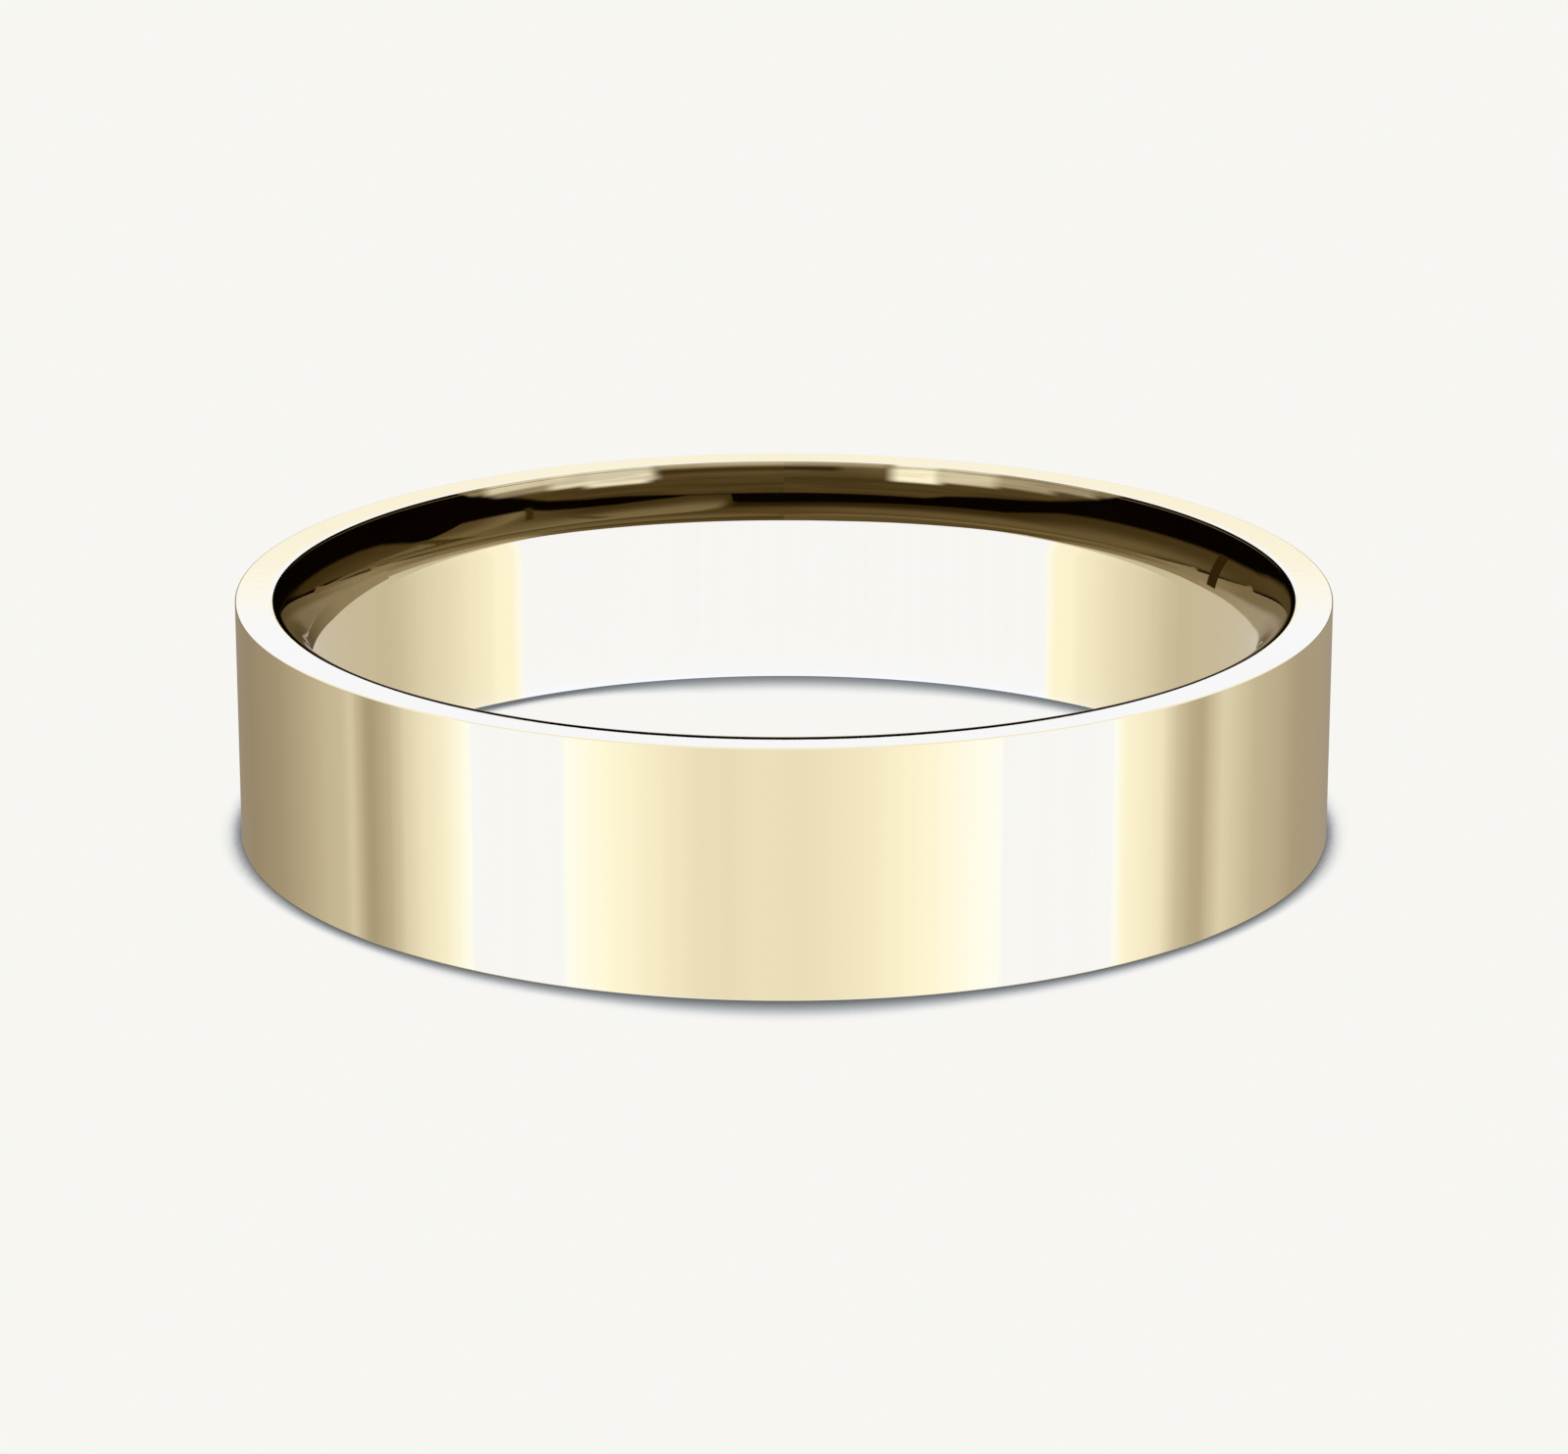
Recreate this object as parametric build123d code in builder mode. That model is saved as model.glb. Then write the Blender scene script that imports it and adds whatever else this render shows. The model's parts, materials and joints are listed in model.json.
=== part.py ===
"""Plain comfort-fit wedding band in polished yellow gold, made the way a bench jeweller makes one.

A length of comfort-fit wire is bent round until its ends meet, and the butt joint is closed with
gold solder.  The ring lies on its lower rim: +Z is the finger's axis, the origin is at the centre
of the circle it stands on, and the joint is on the +X side.  All sizes are in millimetres.
"""

from build123d import *
import os

# Driving dimensions
BAND_WIDTH = 5.0  # rim to rim, along the finger
FINGER_DIAMETER = 19.4  # across the land, the tightest stretch of the bore: ring size 9 1/2
WALL_THICKNESS = 1.55  # from the land to the outside
RIM_WIDTH = 0.79  # across each rim, between its two edges before they are eased
SHOULDER_HEIGHT = 1.3  # how far each comfort-fit shoulder reaches in from its rim
OUTER_EDGE_RADIUS = 0.03  # the crisp outer edge, only just broken
INNER_EDGE_RADIUS = 0.35  # the soft edge where a shoulder rolls out onto its rim
SEAM_WIDTH = 0.1  # solder between the two ends of the wire
SAW_OVERRUN = 0.5  # how far the cut for the joint runs past the wall, inside and outside

# Worked out from them
FINGER_RADIUS = FINGER_DIAMETER / 2
OUTER_RADIUS = FINGER_RADIUS + WALL_THICKNESS
MID_WALL_RADIUS = FINGER_RADIUS + WALL_THICKNESS / 2
RIM_INNER_RADIUS = OUTER_RADIUS - RIM_WIDTH
LAND_BOTTOM = SHOULDER_HEIGHT
LAND_TOP = BAND_WIDTH - SHOULDER_HEIGHT

# The wire's section, with the finger's axis as the sketch's own Y axis.  The outside and both rims
# are flat.  Each shoulder is an arc, tangent to the land, that rolls back to the rim and eases the
# ring over the knuckle; a tighter arc blends it into the rim.
with BuildSketch(Plane.XZ) as wire_section:
    with BuildLine():
        Polyline(
            (RIM_INNER_RADIUS, 0),
            (OUTER_RADIUS, 0),
            (OUTER_RADIUS, BAND_WIDTH),
            (RIM_INNER_RADIUS, BAND_WIDTH),
        )
        TangentArc((FINGER_RADIUS, LAND_TOP), (RIM_INNER_RADIUS, BAND_WIDTH), tangent=(0, 1))
        Line((FINGER_RADIUS, LAND_TOP), (FINGER_RADIUS, LAND_BOTTOM))
        TangentArc((FINGER_RADIUS, LAND_BOTTOM), (RIM_INNER_RADIUS, 0), tangent=(0, -1))
    make_face()
    _, inner_edges, outer_edges = wire_section.vertices().group_by(Axis.X)
    fillet(outer_edges, radius=OUTER_EDGE_RADIUS)
    fillet(inner_edges, radius=INNER_EDGE_RADIUS)

# The gap between the two sawn ends of the wire: parallel faces, right across the wall.
with BuildSketch(Plane.XY) as joint_gap:
    with Locations((MID_WALL_RADIUS, 0)):
        Rectangle(WALL_THICKNESS + 2 * SAW_OVERRUN, SEAM_WIDTH)

# The shank: the wire itself, turned round the finger's axis and open at the joint.
with BuildPart() as shank:
    revolve(wire_section.sketch, axis=Axis.Z)
    extrude(joint_gap.sketch, amount=BAND_WIDTH, mode=Mode.SUBTRACT)
shank.part.label = "shank"

# The solder seam: fills the joint and is dressed flush with the shank all the way round.
with BuildPart() as solder_seam:
    revolve(wire_section.sketch, axis=Axis.Z)
    extrude(joint_gap.sketch, amount=BAND_WIDTH, mode=Mode.INTERSECT)
solder_seam.part.label = "solder_seam"

os.makedirs("parts", exist_ok=True)
for piece in (shank, solder_seam):
    export_step(piece.part, f"parts/{piece.part.label}.step")
    print(piece.part.label, round(piece.part.volume, 3), "mm3")
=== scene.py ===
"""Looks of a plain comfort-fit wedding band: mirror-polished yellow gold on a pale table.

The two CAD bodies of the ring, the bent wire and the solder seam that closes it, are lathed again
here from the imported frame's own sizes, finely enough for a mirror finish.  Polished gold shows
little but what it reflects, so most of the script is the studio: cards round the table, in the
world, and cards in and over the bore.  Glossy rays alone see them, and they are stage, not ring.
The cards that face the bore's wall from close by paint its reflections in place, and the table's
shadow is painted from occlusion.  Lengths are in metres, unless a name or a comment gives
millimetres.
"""

import json
import math

import bpy
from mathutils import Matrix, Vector


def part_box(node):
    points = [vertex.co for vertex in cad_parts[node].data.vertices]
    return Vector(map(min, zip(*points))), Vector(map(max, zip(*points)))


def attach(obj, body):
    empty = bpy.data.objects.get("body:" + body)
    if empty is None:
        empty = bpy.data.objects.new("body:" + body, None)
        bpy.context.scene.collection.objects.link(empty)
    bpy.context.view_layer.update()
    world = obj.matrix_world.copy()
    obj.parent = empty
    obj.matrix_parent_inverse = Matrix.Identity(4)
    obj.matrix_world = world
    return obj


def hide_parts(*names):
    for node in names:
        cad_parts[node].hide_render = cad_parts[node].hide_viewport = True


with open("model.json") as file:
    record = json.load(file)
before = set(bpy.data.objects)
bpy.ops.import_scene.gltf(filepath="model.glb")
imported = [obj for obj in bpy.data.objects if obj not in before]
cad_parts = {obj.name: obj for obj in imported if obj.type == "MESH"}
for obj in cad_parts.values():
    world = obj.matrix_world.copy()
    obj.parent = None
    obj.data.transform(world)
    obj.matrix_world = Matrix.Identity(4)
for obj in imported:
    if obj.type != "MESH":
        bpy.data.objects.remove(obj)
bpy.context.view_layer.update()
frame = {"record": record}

MM = 0.001

# ---- Sizes of the ring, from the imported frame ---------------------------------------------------

shank_low, shank_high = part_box("shank")
seam_low, seam_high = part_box("solder_seam")
finger_bore = next(m for m in frame["record"]["mounts"] if m["name"] == "finger_bore")

OUTER_RADIUS = (shank_high.y - shank_low.y) / 2
BAND_WIDTH = shank_high.z - shank_low.z
LAND_RADIUS = finger_bore["dims"]["r_mm"] * MM
SHOULDER_HEIGHT = (BAND_WIDTH - finger_bore["dims"]["length_mm"] * MM) / 2
HALF_SEAM = (seam_high.y - seam_low.y) / 2

# The frame doesn't hold these three, which are the CAD source's own values.
RIM_WIDTH = 0.79 * MM
OUTER_EDGE_RADIUS = 0.03 * MM
INNER_EDGE_RADIUS = 0.35 * MM

# How finely the section's arcs and the turned bodies are divided.
OUTER_EDGE_STEPS, INNER_EDGE_STEPS, SHOULDER_STEPS = 6, 12, 32
SHANK_STEPS, SEAM_STEPS = 540, 2

# ---- Colours, linear ----------------------------------------------------------------------------

GOLD = (0.94, 0.85, 0.58)
SOLDER = (0.94, 0.86, 0.61)
TABLE = (0.930, 0.922, 0.888)

# Gold shows the first in the table's own colour, and the rims show the second.
WHITE_CARD = (0.99, 1.085, 1.53)
RIM_CARD = (0.98, 1.06, 1.42)


def warm(level):
    """A card of this brightness: the darker it is, the warmer."""
    darkness = max(0.0, 1.0 - level)
    return (level, level**1.16, level ** (1.34 + 0.26 * darkness**3))


def rgba(colour):
    """A colour with its alpha, given outright or as the level of a warm card."""
    return (*(colour if isinstance(colour, tuple) else warm(colour)), 1.0)


# ---- Node helpers -------------------------------------------------------------------------------

# More than any length or factor in the tables of stops.
LONGEST = 20.0


class Nodes:
    """A node tree with short calls to add a node, set its inputs and link them."""

    def __init__(self, tree):
        self.tree = tree
        tree.nodes.clear()

    def add(self, kind, **settings):
        node = self.tree.nodes.new(kind)
        for name, value in settings.items():
            setattr(node, name, value)
        return node

    def feed(self, socket, value):
        if isinstance(value, bpy.types.NodeSocket):
            self.tree.links.new(value, socket)
        elif value is not None:
            socket.default_value = value

    def math(self, operation, a, b=None, c=None, clamp=False):
        node = self.add("ShaderNodeMath", operation=operation, use_clamp=clamp)
        for socket, value in zip(node.inputs, (a, b, c)):
            self.feed(socket, value)
        return node.outputs[0]

    def smooth(self, value, low, high, to_low=0.0, to_high=1.0):
        node = self.add("ShaderNodeMapRange", interpolation_type="SMOOTHSTEP")
        for socket, setting in zip(node.inputs, (value, low, high, to_low, to_high)):
            self.feed(socket, setting)
        return node.outputs[0]

    def window(self, value, low, high, edge):
        """One between two limits, with soft edges."""
        over = self.smooth(value, low - edge, low + edge)
        under = self.smooth(value, high - edge, high + edge, 1.0, 0.0)
        return self.math("MULTIPLY", over, under)

    def azimuth(self, x, y):
        """Angle in degrees from the camera's side of the ring, positive to the right."""
        return self.math("DEGREES", self.math("ARCTAN2", x, self.math("MULTIPLY", y, -1.0)))

    def mix(self, factor, a, b):
        node = self.add("ShaderNodeMix", data_type="RGBA")
        self.feed(node.inputs[0], factor)
        self.feed(node.inputs[6], a)
        self.feed(node.inputs[7], b)
        return node.outputs[2]

    def shade(self, colour, tone):
        """The colour times a tone."""
        node = self.add("ShaderNodeMix", data_type="RGBA", blend_type="MULTIPLY")
        self.feed(node.inputs[0], 1.0)
        self.feed(node.inputs[6], colour)
        self.feed(node.inputs[7], tone)
        return node.outputs[2]

    def ramp(self, factor, stops):
        node = self.add("ShaderNodeValToRGB")
        elements = node.color_ramp.elements
        while len(elements) < len(stops):
            elements.new(1.0)
        for element, (position, colour) in zip(elements, sorted(stops)):
            element.position = position
            element.color = rgba(colour)
        self.feed(node.inputs[0], factor)
        return node.outputs[0]

    def round_ring(self, azimuth, left, right):
        """A colour from the (angle, colour) stops of the left and the right half."""
        turn = self.math("DIVIDE", self.math("ABSOLUTE", azimuth), 180.0)
        ramps = [self.ramp(turn, [(a / 180, c) for a, c in stops]) for stops in (left, right)]
        return self.mix(self.math("GREATER_THAN", azimuth, 0.0), *ramps)

    def length_round_ring(self, azimuth, left, right):
        """The same for a length or a factor, which a ramp holds as a grey of at most one."""
        sides = [[(a, (length / LONGEST,) * 3) for a, length in stops] for stops in (left, right)]
        return self.math("MULTIPLY", self.round_ring(azimuth, *sides), LONGEST)


# ---- Materials ----------------------------------------------------------------------------------

# The scales, per metre, of the buff's lines round the ring and along the finger, and of smudges.
LINES_ROUND, LINES_ALONG = 5000.0, 60.0
SMUDGES = 300.0
LINE_TONE, LINE_CONTRAST = 0.985, 0.03
LINE_DEPTH = 0.0006 * MM
CLEAN_ROUGHNESS, SMUDGED_ROUGHNESS = 0.02, 0.045


def polished_metal(name, colour):
    """Mirror polish with the faint lines that the buff leaves across the band."""
    material = bpy.data.materials.new(name)
    material.use_nodes = True
    n = Nodes(material.node_tree)
    place = n.add("ShaderNodeTexCoord").outputs["Object"]

    def stretched_noise(across, along, detail):
        """Noise that is fine round the ring and drawn out along the finger's axis."""
        mapping = n.add("ShaderNodeMapping")
        mapping.inputs["Scale"].default_value = (across, across, along)
        n.feed(mapping.inputs["Vector"], place)
        noise = n.add("ShaderNodeTexNoise")
        noise.inputs["Scale"].default_value = 1.0
        noise.inputs["Detail"].default_value = detail
        n.feed(noise.inputs["Vector"], mapping.outputs[0])
        return noise.outputs[0]

    lines = stretched_noise(LINES_ROUND, LINES_ALONG, detail=3.0)
    smudges = stretched_noise(SMUDGES, SMUDGES, detail=2.0)
    shader = n.add("ShaderNodeBsdfPrincipled")
    shader.inputs["Metallic"].default_value = 1.0
    tone = n.math("MULTIPLY_ADD", lines, LINE_CONTRAST, LINE_TONE)
    n.feed(shader.inputs["Base Color"], n.shade(rgba(colour), tone))
    roughness = n.smooth(smudges, 0.3, 0.8, CLEAN_ROUGHNESS, SMUDGED_ROUGHNESS)
    n.feed(shader.inputs["Roughness"], roughness)
    bump = n.add("ShaderNodeBump")
    bump.inputs["Strength"].default_value = 1.0
    bump.inputs["Distance"].default_value = LINE_DEPTH
    n.feed(bump.inputs["Height"], lines)
    n.feed(shader.inputs["Normal"], bump.outputs[0])
    output = n.add("ShaderNodeOutputMaterial")
    n.feed(output.inputs["Surface"], shader.outputs[0])
    return material


# ---- The ring's section and the lathe -----------------------------------------------------------

def arc(centre, radius, start, end, steps):
    """Points of an arc in the (radius, height) plane with their outward normals."""
    points = []
    for i in range(steps + 1):
        angle = math.radians(start + (end - start) * i / steps)
        normal = (math.cos(angle), math.sin(angle))
        point = (centre[0] + radius * normal[0], centre[1] + radius * normal[1])
        points.append((point, normal))
    return points


def ring_section():
    """The wire's closed section: outside, eased rim, rolled shoulder, land, and back again."""
    rim_inner_radius = OUTER_RADIUS - RIM_WIDTH
    depth = rim_inner_radius - LAND_RADIUS
    shoulder_radius = (depth**2 + SHOULDER_HEIGHT**2) / (2 * depth)
    shoulder_centre = (LAND_RADIUS + shoulder_radius, BAND_WIDTH - SHOULDER_HEIGHT)
    rise = SHOULDER_HEIGHT - INNER_EDGE_RADIUS
    reach = shoulder_radius - INNER_EDGE_RADIUS
    tilt = math.degrees(math.asin(rise / reach))
    inner_centre = (
        shoulder_centre[0] - math.sqrt(reach**2 - rise**2),
        BAND_WIDTH - INNER_EDGE_RADIUS,
    )
    outer_centre = (OUTER_RADIUS - OUTER_EDGE_RADIUS, BAND_WIDTH - OUTER_EDGE_RADIUS)
    upper = arc(outer_centre, OUTER_EDGE_RADIUS, 0, 90, OUTER_EDGE_STEPS)
    upper += arc(inner_centre, INNER_EDGE_RADIUS, 90, 180 - tilt, INNER_EDGE_STEPS)
    upper += arc(shoulder_centre, shoulder_radius, 180 - tilt, 180, SHOULDER_STEPS)[1:]
    lower = [((r, BAND_WIDTH - z), (nr, -nz)) for (r, z), (nr, nz) in reversed(upper)]
    return upper + lower


def lathe(name, section, start_side, end_side, steps):
    """Turn the section about Z between two faces that are parallel to the XZ plane.

    start_side and end_side give each face's distance from that plane; the sweep runs the long way
    round when it starts on the +Y side.
    """
    points = [p for p, _ in section]
    normals = [n for _, n in section]
    count = len(points)
    vertices, vertex_normals = [], []
    for step in range(steps + 1):
        for (r, z), (nr, nz) in zip(points, normals):
            start = math.asin(start_side / r)
            end = math.asin(end_side / r)
            if start > end:
                end += 2 * math.pi
            angle = start + (end - start) * step / steps
            out = (math.cos(angle), math.sin(angle))
            vertices.append((r * out[0], r * out[1], z))
            vertex_normals.append((nr * out[0], nr * out[1], nz))
    faces, face_normals = [], []
    for step in range(steps):
        for i in range(count):
            j = (i + 1) % count
            a, b = step * count, (step + 1) * count
            faces.append((a + i, b + i, b + j, a + j))
            face_normals.append([vertex_normals[v] for v in faces[-1]])
    last = steps * count
    faces.append(tuple(range(count)))
    face_normals.append([(0.0, -1.0, 0.0)] * count)
    faces.append(tuple(last + i for i in reversed(range(count))))
    face_normals.append([(0.0, 1.0, 0.0)] * count)
    mesh = bpy.data.meshes.new(name)
    mesh.from_pydata(vertices, [], faces)
    mesh.update()
    mesh.polygons.foreach_set("use_smooth", [True] * len(faces))
    mesh.normals_split_custom_set([n for corners in face_normals for n in corners])
    piece = bpy.data.objects.new(name, mesh)
    bpy.context.scene.collection.objects.link(piece)
    return piece


# ---- The pieces ---------------------------------------------------------------------------------

section = ring_section()

shank = lathe("gold_shank", section, HALF_SEAM, -HALF_SEAM, SHANK_STEPS)
shank.data.materials.append(polished_metal("polished_gold", GOLD))
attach(shank, "root")
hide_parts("shank")

seam = lathe("gold_solder_seam", section, -HALF_SEAM, HALF_SEAM, SEAM_STEPS)
seam.data.materials.append(polished_metal("polished_solder", SOLDER))
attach(seam, "root")
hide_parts("solder_seam")


# ---- The studio's cards -------------------------------------------------------------------------

# Unless it says otherwise, a table of stops gives an angle from the camera's side, in degrees, and
# a colour, the level of a warm card, or a length in mm.

# Upright cards round the table, seen in the outside of the band.
LEFT_CARDS = [
    (0, 0.88), (6, 0.89), (11, 0.86), (18, 0.88), (21, 0.92), (29, 1.0),
    (37, (1.06, 1.10, 1.15)), (45.5, (1.06, 1.16, 1.45)), (45.8, WHITE_CARD), (67.0, WHITE_CARD),
    (67.3, (1.06, 1.16, 1.46)), (70, (1.05, 1.11, 1.25)), (74, 0.99), (80, 0.89), (84, 0.77),
    (89, 0.55), (94, 0.43), (96, 0.44), (101, 0.70), (104, 0.62), (110, 0.58), (119, 0.48),
    (131, 0.385), (150, 0.325), (180, 0.33),
]
RIGHT_CARDS = [
    (0, 0.88), (3, 0.867), (11, 0.91), (17, 0.95), (22, 1.0), (28, 1.05),
    (34, (1.06, 1.10, 1.22)), (39, (1.06, 1.14, 1.35)), (45, (1.06, 1.15, 1.5)),
    (45.3, WHITE_CARD), (71.5, WHITE_CARD), (71.8, (1.06, 1.17, 1.48)), (74.5, 1.04), (79, 0.99),
    (84, 0.92), (86, 0.80), (88.5, 0.66), (93, 0.52), (96, 0.49), (98, 0.58), (103, 0.76),
    (109, 0.68), (115, 0.58), (126, 0.51), (134, 0.43), (152, 0.40), (180, 0.33),
]

# They reach up to the first of these elevations, in degrees, and drop to the second at the back,
# between these angles.
CARD_TOP_FRONT, CARD_TOP_BACK = 13.2, 4.5
DROP_START, DROP_END = 110.0, 130.0
CARD_TOP_EDGE = 0.4

# The tent above them, by elevation: dark, which shows only at the back, then cream, white, cream.
TENT = [
    (0, 0.10), (13.0, 0.10), (13.4, 1.0), (15.15, 1.0), (15.4, 1.06), (15.65, RIM_CARD),
    (24, RIM_CARD), (30, 1.0), (60, 0.95), (90, 0.90),
]

# The liner inside the bore, and the tan that the bore's two sides see, over a parting whose height
# falls with the angle.
LINER_CARDS = [
    (0, WHITE_CARD), (104, WHITE_CARD), (104.5, (1.05, 1.12, 1.35)), (109, 1.04), (116, 1.03),
    (119, 0.98), (129, 0.92), (139, 0.84), (154, 0.75), (167, 0.65), (174, 0.62), (180, 0.61),
]
SIDE_CARD = 0.61
PARTING_HEIGHT, PARTING_FALL = 6.3, 0.031  # mm, and mm per degree
PARTING_EDGES = (-0.05, 0.1)

# The liner's dark hem: the height of its foot, and its cards at the foot and at the top.
HEM_LEFT = [
    (0, 2.6), (20, 2.7), (40, 3.2), (60, 3.6), (80, 4.0), (92, 4.0), (100, 3.7), (110, 3.4),
    (130, 3.2), (155, 2.95), (170, 2.8), (180, 2.65),
]
HEM_RIGHT = [
    (0, 2.6), (20, 2.7), (40, 2.9), (60, 3.1), (80, 3.35), (100, 3.5), (110, 3.35), (120, 3.1),
    (130, 2.95), (140, 2.8), (170, 2.65), (180, 2.65),
]
HEM_FOOT_LEFT = [
    (0, 0.12), (94, 0.09), (104, 0.12), (112, 0.20), (125, 0.22), (140, 0.25), (180, 0.28),
]
HEM_FOOT_RIGHT = [
    (0, 0.10), (60, 0.12), (90, 0.16), (100, 0.30), (115, 0.36), (140, 0.36), (180, 0.30),
]
HEM_TOP_LEFT = [
    (0, 0.12), (94, 0.08), (110, 0.10), (125, 0.13), (145, 0.17), (165, 0.24), (180, 0.27),
]
HEM_TOP_RIGHT = [(0, 0.07), (80, 0.08), (95, 0.15), (105, 0.20), (150, 0.20), (180, 0.27)]
HEM_EDGE = 0.1
HEM_TOP_START, HEM_TOP_END = 0.8, 1.4  # over the foot

# The short piece of hem that hugs the bore's left side, painting a dark reflection on it.
LEFT_HEM = [(0, 0.11), (90, 0.12), (97, 0.19), (106, 0.27), (120, 0.31)]

# The lid: the radii of its black band's inner and outer edges, and the brown inside the band,
# close to it and further in.
BLACK_INSIDE_LEFT = [
    (0, 10.3), (94, 9.95), (105, 9.75), (120, 9.62), (125, 9.5), (130, 9.2), (134, 8.9),
    (137.4, 8.75), (138.2, 9.36), (148, 9.38), (151, 9.15), (155, 9.0), (160, 8.95), (167, 9.15),
    (170, 9.4), (173.5, 9.4), (174.5, 8.4), (180, 8.3),
]
BLACK_INSIDE_RIGHT = [
    (0, 10.3), (90, 10.25), (95, 10.2), (103, 10.0), (107, 9.85), (112, 9.75), (124, 9.62),
    (140, 9.5), (145, 9.4), (150, 9.1), (154, 8.8), (165, 8.6), (180, 8.3),
]
BLACK_OUTSIDE_LEFT = [
    (0, 11), (132, 11), (139, 10.3), (146, 9.97), (150, 9.7), (155, 9.55), (160, 9.5),
    (170, 9.28), (180, 9.28),
]
BLACK_OUTSIDE_RIGHT = [
    (0, 11), (130, 11), (138, 10.25), (146, 9.87), (150, 9.75), (155, 9.65), (160, 9.5),
    (163, 9.28), (180, 9.28),
]
BROWN_EDGE_LEFT = [
    (0, 0.06), (94, 0.03), (120, 0.05), (138, 0.08), (142, 0.10), (147, 0.19), (149, 0.09),
    (158, 0.05), (170, 0.06), (174, 0.05), (175, 0.02), (180, 0.02),
]
BROWN_EDGE_RIGHT = [(0, 0.06), (103, 0.08), (140, 0.05), (180, 0.02)]
BROWN_LEFT = [
    (0, 0.14), (100, 0.10), (110, 0.11), (126, 0.15), (134, 0.18), (145, 0.17), (152, 0.15),
    (160, 0.15), (166, 0.19), (173, 0.20), (174.5, 0.07), (180, 0.09),
]
BROWN_RIGHT = [(0, 0.12), (100, 0.17), (126, 0.15), (159, 0.14), (175, 0.12), (180, 0.09)]

BLACK = 0.002
BLACK_FOOT_EDGES = (-0.08, 0.1)
BLACK_TOP_EDGES = (-0.12, 0.0)
BROWN_START, BROWN_END = 0.2, 1.7  # further in than the black band

# Fine dark strokes across the brown, straight in angle and radius: half, degrees per mm, place,
# half width in degrees, radii and level.
STROKES = [
    ("left", 12.5, 245.8, 0.8, (7.4, 8.7), 0.06),
    ("left", 6.67, 211.7, 0.7, (6.8, 8.5), 0.08),
    ("left", 3.4, 179.9, 0.5, (8.5, 9.5), 0.04),
]

# Outside the band the lid is olive, lighter towards its edge, with bright cards: half, angles,
# radii and level.
OLIVE_START, OLIVE_END = 9.95, 10.3
OLIVE_INNER, OLIVE_OUTER = 0.08, 0.14
OLIVE_EDGE = 0.08
GLINTS = [
    ("left", (135, 142), (10.28, 10.7), 0.30),
    ("left", (141, 151), (10.2, 10.7), 0.68),
    ("left", (142, 153), (10.08, 10.2), 0.38),
    ("left", (150, 164), (10.07, 10.7), 0.80),
    ("left", (155, 163), (9.98, 10.7), 0.90),
    ("left", (164, 190), (10.33, 10.7), 0.50),
    ("left", (164, 190), (10.18, 10.3), 0.05),
    ("right", (134, 140), (10.3, 10.7), 0.30),
    ("right", (139, 147), (10.22, 10.7), 0.45),
    ("right", (145, 154), (10.1, 10.7), 0.42),
    ("right", (153, 160.5), (10.04, 10.7), 0.68),
    ("right", (160.5, 166.5), (9.96, 10.7), 1.0),
    ("right", (167, 190), (10.33, 10.7), 0.50),
    ("right", (173, 190), (10.2, 10.3), 0.03),
]

# How soft the sides of a stroke and of a bright card are in degrees, and their ends in mm.
STROKE_EDGE, GLINT_EDGE, PATCH_EDGE = 0.3, 1.2, 0.06

# Grain in the bright cards: its scale per degree and per mm, and the tones that it varies between.
GRAIN_ROUND, GRAIN_ACROSS = 0.06, 7.0
GRAIN_DARK, GRAIN_LIGHT = 0.75, 1.05

# The shadow painted on the table round the ring and inside it, by how open the table is to the sky.
SHADOW_OUTSIDE = [
    (0.0, (0.12, 0.12, 0.11)), (0.5, (0.12, 0.12, 0.115)), (0.67, (0.29, 0.31, 0.325)),
    (0.77, (0.47, 0.48, 0.495)), (0.86, (0.67, 0.68, 0.69)), (0.95, (0.88, 0.88, 0.87)),
    (1.0, TABLE),
]
SHADOW_INSIDE = [
    (0.0, (0.16, 0.165, 0.17)), (0.25, (0.28, 0.30, 0.31)), (0.38, (0.43, 0.45, 0.46)),
    (0.50, (0.62, 0.63, 0.64)), (0.63, (0.80, 0.81, 0.80)), (0.75, TABLE),
]
SHADOW_REACH = 1.25 * MM
SHADOW_PARTING = 10.9  # mm: a radius under the ring, between the two
OPEN_AT_OUTSIDE, OPEN_AT_INSIDE = 0.5, 0.25  # right at the ring

# How much thinner it is: outside, most at the ring's two sides, and inside, by these factors.
SIDE_THINNING = 10.0
THINNING_LEFT = [(0, 1.5), (140, 4.0), (149, 4.0), (155, 2.2), (162, 1.3), (170, 1.0), (180, 1.0)]
THINNING_RIGHT = [(0, 1.5), (140, 2.0), (151, 1.5), (160, 1.2), (170, 1.0), (180, 1.0)]


# ---- The world and the stage's materials --------------------------------------------------------


def studio_world():
    """Cards all round, seen by polished metal; everything else sees the pale table."""
    world = bpy.data.worlds.new("studio")
    bpy.context.scene.world = world
    world.use_nodes = True
    n = Nodes(world.node_tree)
    direction = n.add("ShaderNodeSeparateXYZ")
    n.feed(direction.inputs[0], n.add("ShaderNodeTexCoord").outputs["Generated"])
    x, y, z = direction.outputs
    azimuth = n.azimuth(x, y)
    elevation = n.math("DEGREES", n.math("ARCSINE", z))
    cards = n.round_ring(azimuth, LEFT_CARDS, RIGHT_CARDS)
    tent = n.ramp(n.math("DIVIDE", elevation, 90.0), [(e / 90, c) for e, c in TENT])
    side = n.math("ABSOLUTE", azimuth)
    card_top = n.smooth(side, DROP_START, DROP_END, CARD_TOP_FRONT, CARD_TOP_BACK)
    over_cards = n.math("SUBTRACT", elevation, card_top)
    reflected = n.mix(n.smooth(over_cards, -CARD_TOP_EDGE, CARD_TOP_EDGE), cards, tent)

    path = n.add("ShaderNodeLightPath")
    seen = n.mix(path.outputs["Is Glossy Ray"], rgba(TABLE), reflected)
    shader = n.add("ShaderNodeBackground")
    n.feed(shader.inputs["Color"], seen)
    output = n.add("ShaderNodeOutputWorld")
    n.feed(output.inputs["Surface"], shader.outputs[0])


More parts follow.
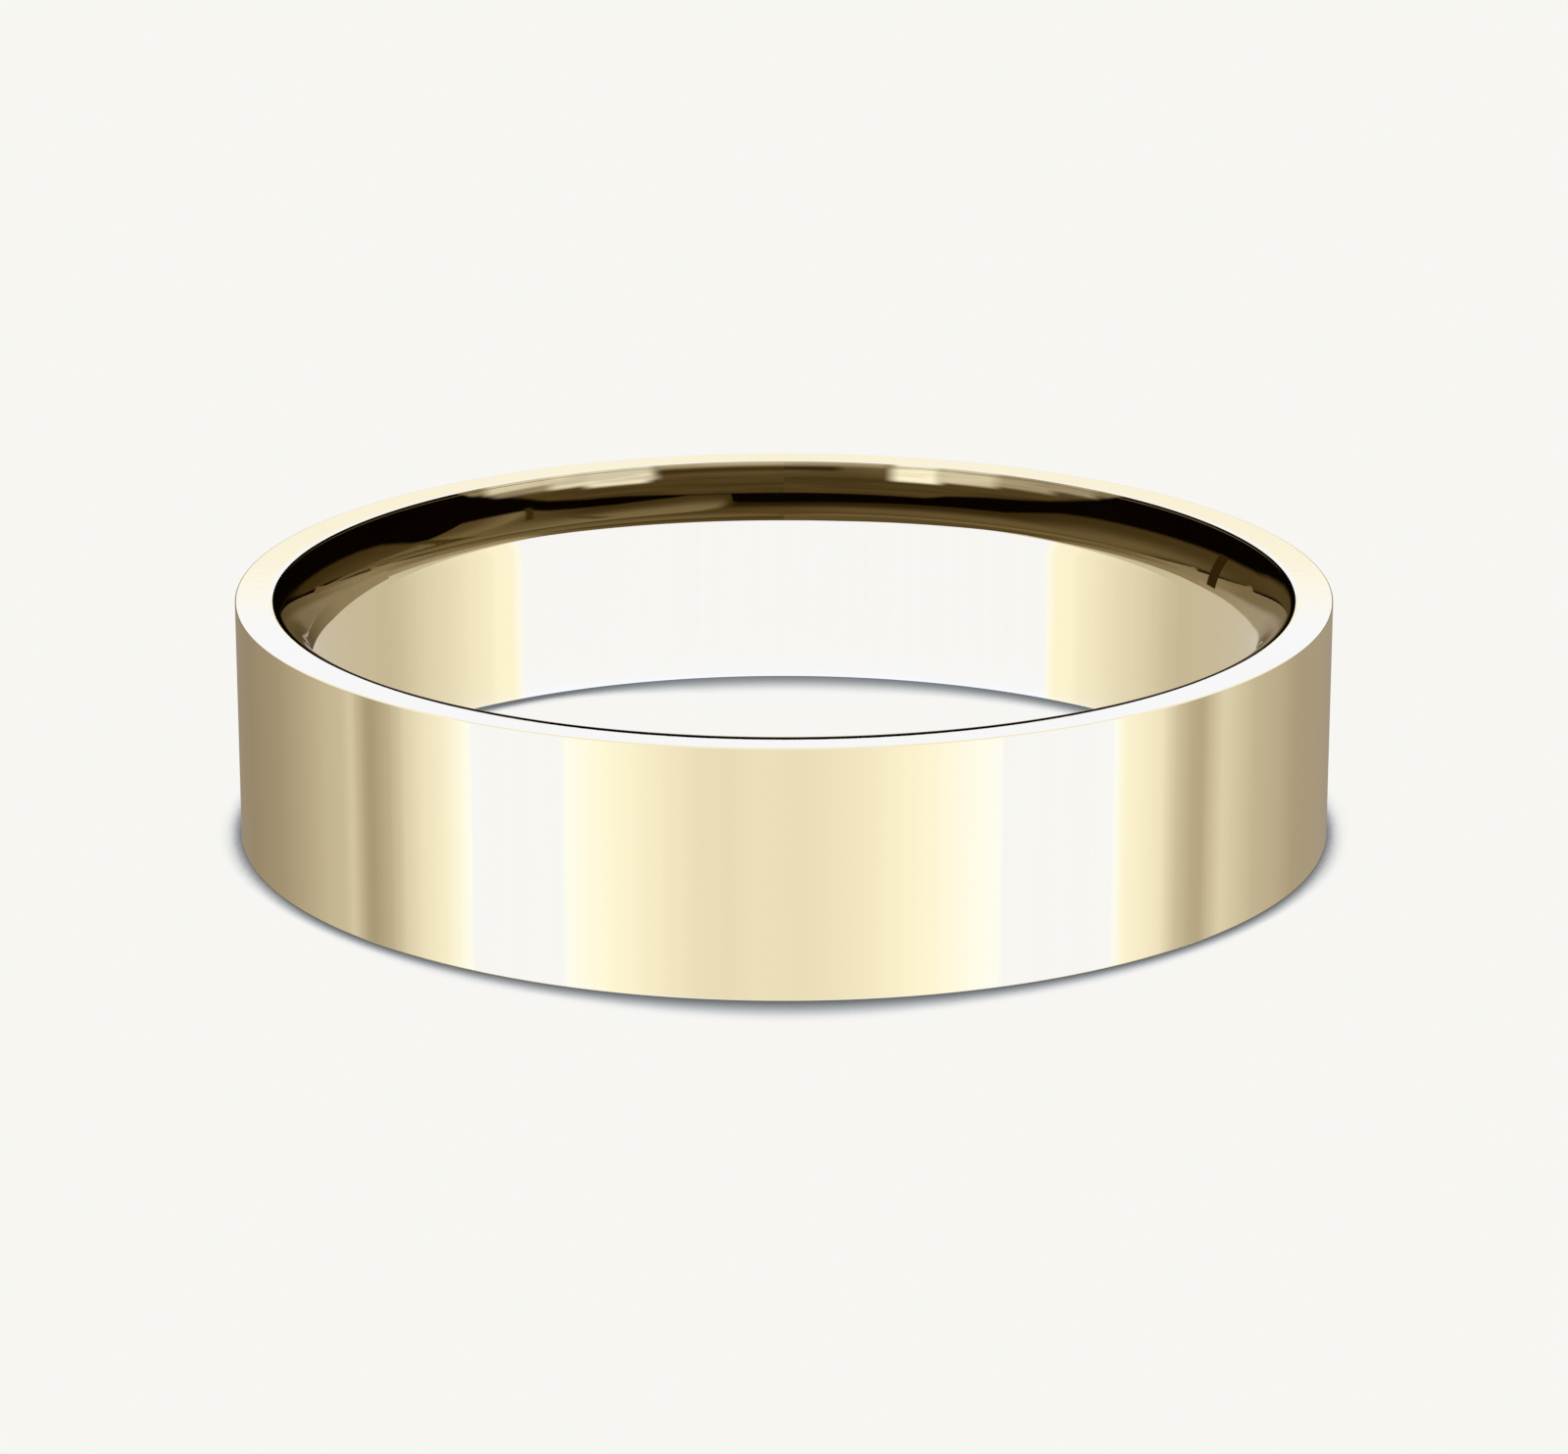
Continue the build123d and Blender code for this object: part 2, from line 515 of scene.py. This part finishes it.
def seen_by(piece, camera=False, glossy=False):
    """Limit which rays meet a piece of the stage."""
    piece.visible_camera = camera
    piece.visible_glossy = glossy
    piece.visible_diffuse = False
    piece.visible_transmission = camera
    piece.visible_shadow = False


def glowing(name, build_colour, one_sided=False):
    """A surface that shows its own colour, and is clear from behind if it is one-sided."""
    material = bpy.data.materials.new(name)
    material.use_nodes = True
    n = Nodes(material.node_tree)
    shader = n.add("ShaderNodeEmission")
    n.feed(shader.inputs["Color"], build_colour(n))
    surface = shader.outputs[0]
    if one_sided:
        sides = n.add("ShaderNodeMixShader")
        n.feed(sides.inputs[0], n.add("ShaderNodeNewGeometry").outputs["Backfacing"])
        n.feed(sides.inputs[1], surface)
        n.feed(sides.inputs[2], n.add("ShaderNodeBsdfTransparent").outputs[0])
        surface = sides.outputs[0]
    output = n.add("ShaderNodeOutputMaterial")
    n.feed(output.inputs["Surface"], surface)
    return material


def stage_piece(name, vertices, faces, material):
    """A piece of the stage from its mesh data."""
    mesh = bpy.data.meshes.new(name)
    mesh.from_pydata(vertices, [], faces)
    mesh.update()
    mesh.materials.append(material)
    piece = bpy.data.objects.new(name, mesh)
    bpy.context.scene.collection.objects.link(piece)
    return piece


CARD_STEPS = 360


def turned_card(name, profile, material, start=-180.0, end=180.0):
    """A card turned about Z from (radius, height) points, facing the axis if they run downwards.

    It reaches from the start to the end angle, from the camera's side and positive to the right.
    The profile is a list of points, or a function of the angle that gives one.
    """
    angles = [start + (end - start) * i / CARD_STEPS for i in range(CARD_STEPS + 1)]
    profiles = [profile(angle) if callable(profile) else profile for angle in angles]
    rings = len(profiles[0])
    vertices = []
    for ring in range(rings):
        for angle, points in zip(angles, profiles):
            radius, height = points[ring]
            turn = math.radians(angle)
            vertices.append((radius * math.sin(turn), -radius * math.cos(turn), height))
    faces = []
    for ring in range(rings - 1):
        above, below = ring * len(angles), (ring + 1) * len(angles)
        for i in range(CARD_STEPS):
            faces.append((above + i, above + i + 1, below + i + 1, below + i))
    piece = stage_piece(name, vertices, faces, material)
    seen_by(piece, glossy=True)
    return piece


def place_on_stage(n):
    """Azimuth, distance from the ring's axis and height, in degrees and millimetres."""
    place = n.add("ShaderNodeSeparateXYZ")
    n.feed(place.inputs[0], n.add("ShaderNodeTexCoord").outputs["Object"])
    x, y, z = place.outputs
    reach = n.math("SQRT", n.math("ADD", n.math("MULTIPLY", x, x), n.math("MULTIPLY", y, y)))
    return n.azimuth(x, y), n.math("DIVIDE", reach, MM), n.math("DIVIDE", z, MM)


def table_colour(n):
    """The table's own pale colour, darkened by a painted shadow where the ring stands on it."""
    azimuth, radius, _ = place_on_stage(n)
    occlusion = n.add("ShaderNodeAmbientOcclusion", samples=16)
    occlusion.inputs["Distance"].default_value = SHADOW_REACH
    openness = occlusion.outputs["AO"]
    sideways = n.math("POWER", n.math("SINE", n.math("RADIANS", azimuth)), 2.0)
    thinning_outside = n.math("SQRT", n.math("MULTIPLY_ADD", sideways, SIDE_THINNING, 1.0))
    thinning_inside = n.length_round_ring(azimuth, THINNING_LEFT, THINNING_RIGHT)

    def shadow(open_at_ring, thinning, stops):
        from_ring = n.math("MULTIPLY", n.math("SUBTRACT", openness, open_at_ring), thinning)
        return n.ramp(n.math("ADD", from_ring, open_at_ring), stops)

    outside = shadow(OPEN_AT_OUTSIDE, thinning_outside, SHADOW_OUTSIDE)
    inside = shadow(OPEN_AT_INSIDE, thinning_inside, SHADOW_INSIDE)
    return n.mix(n.math("GREATER_THAN", radius, SHADOW_PARTING), inside, outside)


def liner_colour(n):
    """Inside the bore: white in front, cream to tan at the back, under a dark hem."""
    azimuth, _, height = place_on_stage(n)
    cards = n.round_ring(azimuth, LINER_CARDS, LINER_CARDS)
    side = n.math("ABSOLUTE", azimuth)
    parting = n.math("MULTIPLY_ADD", side, -PARTING_FALL, PARTING_HEIGHT)
    seen_from_sides = n.smooth(n.math("SUBTRACT", height, parting), *PARTING_EDGES)
    cards = n.mix(seen_from_sides, cards, rgba(SIDE_CARD))
    over = n.math("SUBTRACT", height, n.length_round_ring(azimuth, HEM_LEFT, HEM_RIGHT))
    foot = n.round_ring(azimuth, HEM_FOOT_LEFT, HEM_FOOT_RIGHT)
    top = n.round_ring(azimuth, HEM_TOP_LEFT, HEM_TOP_RIGHT)
    hem = n.mix(n.smooth(over, HEM_TOP_START, HEM_TOP_END), foot, top)
    return n.mix(n.smooth(over, -HEM_EDGE, HEM_EDGE), cards, hem)


def left_hem_colour(n):
    """The hem against the bore's left side, a painted dark reflection, darker towards the front."""
    azimuth, _, _ = place_on_stage(n)
    return n.round_ring(azimuth, LEFT_HEM, LEFT_HEM)


# Each place on the bore's wall sees the liner this many times as far round from the back.
WALL_TO_LINER = 2.86


def skirt_reflection_colour(n):
    """Along the lower shoulder, a painted reflection: what the bore shows above the same place."""
    azimuth, radius, _ = place_on_stage(n)
    sine = n.math("SINE", n.math("RADIANS", n.math("ABSOLUTE", azimuth)))
    across = n.math("MULTIPLY", radius, sine)
    wall_sine = n.math("DIVIDE", across, LAND_RADIUS / MM, clamp=True)
    from_back = n.math("DEGREES", n.math("ARCSINE", wall_sine))
    seen = n.math("MINIMUM", n.math("MULTIPLY", from_back, WALL_TO_LINER), 180.0)
    return n.round_ring(seen, LINER_CARDS, LINER_CARDS)


def lid_colour(n):
    """Over the bore: brown inside a black band, and bright cards on olive outside it."""
    azimuth, radius, _ = place_on_stage(n)
    side = n.math("ABSOLUTE", azimuth)
    right = n.math("GREATER_THAN", azimuth, 0.0)
    halves = {"left": n.math("SUBTRACT", 1.0, right), "right": right}

    def patch(base, half, value, limits, edge, radii, level):
        """Lay a card of this level over one half of the base, between limits and radii."""
        ends = n.window(radius, *radii, PATCH_EDGE)
        mask = n.math("MULTIPLY", n.window(value, *limits, edge), ends)
        return n.mix(n.math("MULTIPLY", mask, halves[half]), base, rgba(level))

    black_foot = n.length_round_ring(azimuth, BLACK_INSIDE_LEFT, BLACK_INSIDE_RIGHT)
    inside = n.math("SUBTRACT", black_foot, radius)
    brown = n.mix(
        n.smooth(inside, BROWN_START, BROWN_END),
        n.round_ring(azimuth, BROWN_EDGE_LEFT, BROWN_EDGE_RIGHT),
        n.round_ring(azimuth, BROWN_LEFT, BROWN_RIGHT),
    )
    brown = n.mix(n.smooth(inside, *BLACK_FOOT_EDGES), rgba(BLACK), brown)
    for half, slope, place, half_width, radii, level in STROKES:
        across = n.math("MULTIPLY_ADD", radius, slope, side)
        limits = (place - half_width, place + half_width)
        brown = patch(brown, half, across, limits, STROKE_EDGE, radii, level)

    black_top = n.length_round_ring(azimuth, BLACK_OUTSIDE_LEFT, BLACK_OUTSIDE_RIGHT)
    outside = n.math("SUBTRACT", radius, black_top)
    lightening = n.smooth(radius, OLIVE_START, OLIVE_END)
    olive = n.mix(lightening, rgba(OLIVE_INNER), rgba(OLIVE_OUTER))
    bright = n.mix(n.smooth(outside, -OLIVE_EDGE, OLIVE_EDGE), rgba(BLACK), olive)
    for half, sides, radii, level in GLINTS:
        bright = patch(bright, half, side, sides, GLINT_EDGE, radii, level)
    bright = n.shade(bright, lid_grain(n, azimuth, radius))
    return n.mix(n.smooth(outside, *BLACK_TOP_EDGES), brown, bright)


def lid_grain(n, azimuth, radius):
    """A tone that varies little round the lid and much across it."""
    stretched = n.add("ShaderNodeCombineXYZ")
    n.feed(stretched.inputs[0], n.math("MULTIPLY", azimuth, GRAIN_ROUND))
    n.feed(stretched.inputs[1], n.math("MULTIPLY", radius, GRAIN_ACROSS))
    noise = n.add("ShaderNodeTexNoise")
    noise.inputs["Scale"].default_value = 1.0
    noise.inputs["Detail"].default_value = 3.0
    n.feed(noise.inputs["Vector"], stretched.outputs[0])
    return n.smooth(noise.outputs[0], 0.35, 0.6, GRAIN_DARK, GRAIN_LIGHT)


# ---- The stage: world and table -----------------------------------------------------------------

studio_world()

FLOOR_SIZE = 2.0
FLOOR_DROP = 0.002 * MM
floor_corners = [
    (x * FLOOR_SIZE, y * FLOOR_SIZE, -FLOOR_DROP) for x, y in ((-1, -1), (1, -1), (1, 1), (-1, 1))
]
floor = stage_piece("table", floor_corners, [(0, 1, 2, 3)], glowing("pale_table", table_colour))
seen_by(floor, camera=True)

# ---- The cards in and over the bore -------------------------------------------------------------

# The liner hugs the inside of the ring, with a collar over it and a well below.  It is clear from
# behind, so that the metal against it sees across the bore to the liner's far side.
CARD_GAP = 0.02 * MM
WELL_DEPTH = 12 * MM
COLLAR_RADIUS, COLLAR_TOP = 10.40 * MM, BAND_WIDTH + 0.10 * MM
BORE_EDGE = OUTER_RADIUS - RIM_WIDTH + 0.098 * MM  # part of the way out over the rim's soft edge
bore_section = [(point, normal) for point, normal in section if point[0] < BORE_EDGE]
liner_profile = [(COLLAR_RADIUS, COLLAR_TOP)] + [
    (r - CARD_GAP, z) for (r, z), _ in bore_section if BAND_WIDTH / 2 < z < BAND_WIDTH - CARD_GAP
]
liner_profile += [(LAND_RADIUS - CARD_GAP, 0.0), (LAND_RADIUS - CARD_GAP, -WELL_DEPTH)]
liner_cards = glowing("liner_cards", liner_colour, one_sided=True)
turned_card("card_liner", liner_profile, liner_cards)

# Lips close the gap between lid and liner for the rays that cross the whole bore.
LIP_RADII = (8.2 * MM, 9.3 * MM, 10.0 * MM)
LIP_TOP = BAND_WIDTH + 0.1 * MM
LIP_FOOT = BAND_WIDTH - 0.3 * MM
for lip_radius in LIP_RADII:
    turned_card("card_lip", [(lip_radius, LIP_TOP), (lip_radius, LIP_FOOT)], liner_cards)

# A disc keeps a pinhole in its middle, because a turned card is made of quads.
PINHOLE = 0.01 * MM
white = glowing("white_card", lambda n: rgba(WHITE_CARD))
turned_card("card_well_floor", [(LAND_RADIUS, -WELL_DEPTH), (PINHOLE, -WELL_DEPTH)], white)

# The skirt faces the lower shoulder, so its profile runs upwards.
# It stands so close to the metal that its colours are a painted reflection on the shoulder.
SKIRT_GAP = 0.01 * MM
skirt_profile = [
    (r + nr * SKIRT_GAP, z + nz * SKIRT_GAP)
    for (r, z), (nr, nz) in reversed(bore_section) if z < SHOULDER_HEIGHT
]
turned_card("card_skirt", skirt_profile, glowing("skirt_reflection_cards", skirt_reflection_colour, one_sided=True))

# At its two sides the bore's straight wall faces a card that is all one tan, close enough to paint a
# tan reflection on the wall in place.  On the left, part of the hem stands over that card, and its
# foot rises towards the back; it paints a dark reflection there.
SIDE_START, SIDE_END = 80.0, 119.5
SIDE_RADIUS = LAND_RADIUS - SKIRT_GAP
SIDE_TOP = BAND_WIDTH - SHOULDER_HEIGHT + 0.08 * MM
side_reflection_cards = glowing("side_reflection_cards", lambda n: rgba(SIDE_CARD), one_sided=True)
side_profile = [(SIDE_RADIUS, SHOULDER_HEIGHT), (SIDE_RADIUS, SIDE_TOP)]
turned_card("card_right_side", side_profile, side_reflection_cards, SIDE_START, SIDE_END)

LEFT_START, LEFT_RISE_START = -74.0, -103.0
LEFT_FOOT_LOW, LEFT_FOOT_HIGH, LEFT_HEM_TOP = 3.705 * MM, 3.87 * MM, 4.06 * MM


def left_foot(angle):
    """The foot of the left hem, level at first and then rising to the card's end at the back."""
    risen = max(0.0, (angle - LEFT_RISE_START) / (-SIDE_END - LEFT_RISE_START))
    return SIDE_RADIUS, LEFT_FOOT_LOW + risen * (LEFT_FOOT_HIGH - LEFT_FOOT_LOW)


def left_side_profile(angle):
    """The tan card under the left hem."""
    return [(SIDE_RADIUS, SHOULDER_HEIGHT), left_foot(angle)]


def left_hem_profile(angle):
    """The left hem over its foot."""
    return [left_foot(angle), (SIDE_RADIUS, LEFT_HEM_TOP)]


left_hem_reflection_cards = glowing("left_hem_reflection_cards", left_hem_colour, one_sided=True)
turned_card("card_left_side", left_side_profile, side_reflection_cards, -SIDE_END, LEFT_START)
turned_card("card_left_hem", left_hem_profile, left_hem_reflection_cards, -SIDE_END, LEFT_START)

# A narrow dark card stands against the right half of the upper shoulder, so close that it paints a
# dark reflected streak on the metal there.
BAR_START, BAR_END = 110.4, 112.8
BAR_LOW, BAR_HIGH = 3.98 * MM, 4.7 * MM
BAR_LEVEL = 0.03
bar_profile = [
    (r + nr * SKIRT_GAP, z + nz * SKIRT_GAP)
    for (r, z), (nr, nz) in reversed(bore_section) if BAR_LOW < z < BAR_HIGH
]
dark = glowing("dark_reflection_card", lambda n: rgba(BAR_LEVEL), one_sided=True)
turned_card("card_dark_reflection_bar", bar_profile, dark, BAR_START, BAR_END)

# The lid is set a little back, meets the far rim's soft edge there, and rises to the camera's side.
LID_RADIUS = 10.47 * MM
LID_SHIFT = 0.05 * MM
LID_LOW = BAND_WIDTH - 0.002 * MM
LID_HIGH = BAND_WIDTH + 0.08 * MM
lid_cards = glowing("lid_cards", lid_colour)
lid = turned_card("card_lid", [(LID_RADIUS, 0.0), (PINHOLE, 0.0)], lid_cards)
lid.location = (0.0, LID_SHIFT, (LID_LOW + LID_HIGH) / 2)
lid.rotation_euler = (-math.atan2(LID_HIGH - LID_LOW, 2 * LID_RADIUS), 0.0, 0.0)

# ---- Camera -------------------------------------------------------------------------------------

CAMERA_ELEVATION = math.radians(16.72)
CAMERA_DISTANCE = 10.34 * OUTER_RADIUS
FOCAL_LENGTH = 129.0  # mm
AIM_BELOW_CENTRE = 0.506 * MM

ring_centre = Vector((0, 0, BAND_WIDTH / 2))
camera = bpy.data.objects.new("camera", bpy.data.cameras.new("camera"))
bpy.context.scene.collection.objects.link(camera)
camera.data.lens = FOCAL_LENGTH
camera.data.clip_start = 1 * MM
camera.data.clip_end = 10.0
camera.location = ring_centre + CAMERA_DISTANCE * Vector(
    (0, -math.cos(CAMERA_ELEVATION), math.sin(CAMERA_ELEVATION))
)
aim = ring_centre - Vector((0, 0, AIM_BELOW_CENTRE))
camera.rotation_euler = (aim - camera.location).to_track_quat("-Z", "Y").to_euler()
bpy.context.scene.camera = camera
bpy.context.scene.view_settings.view_transform = "Standard"
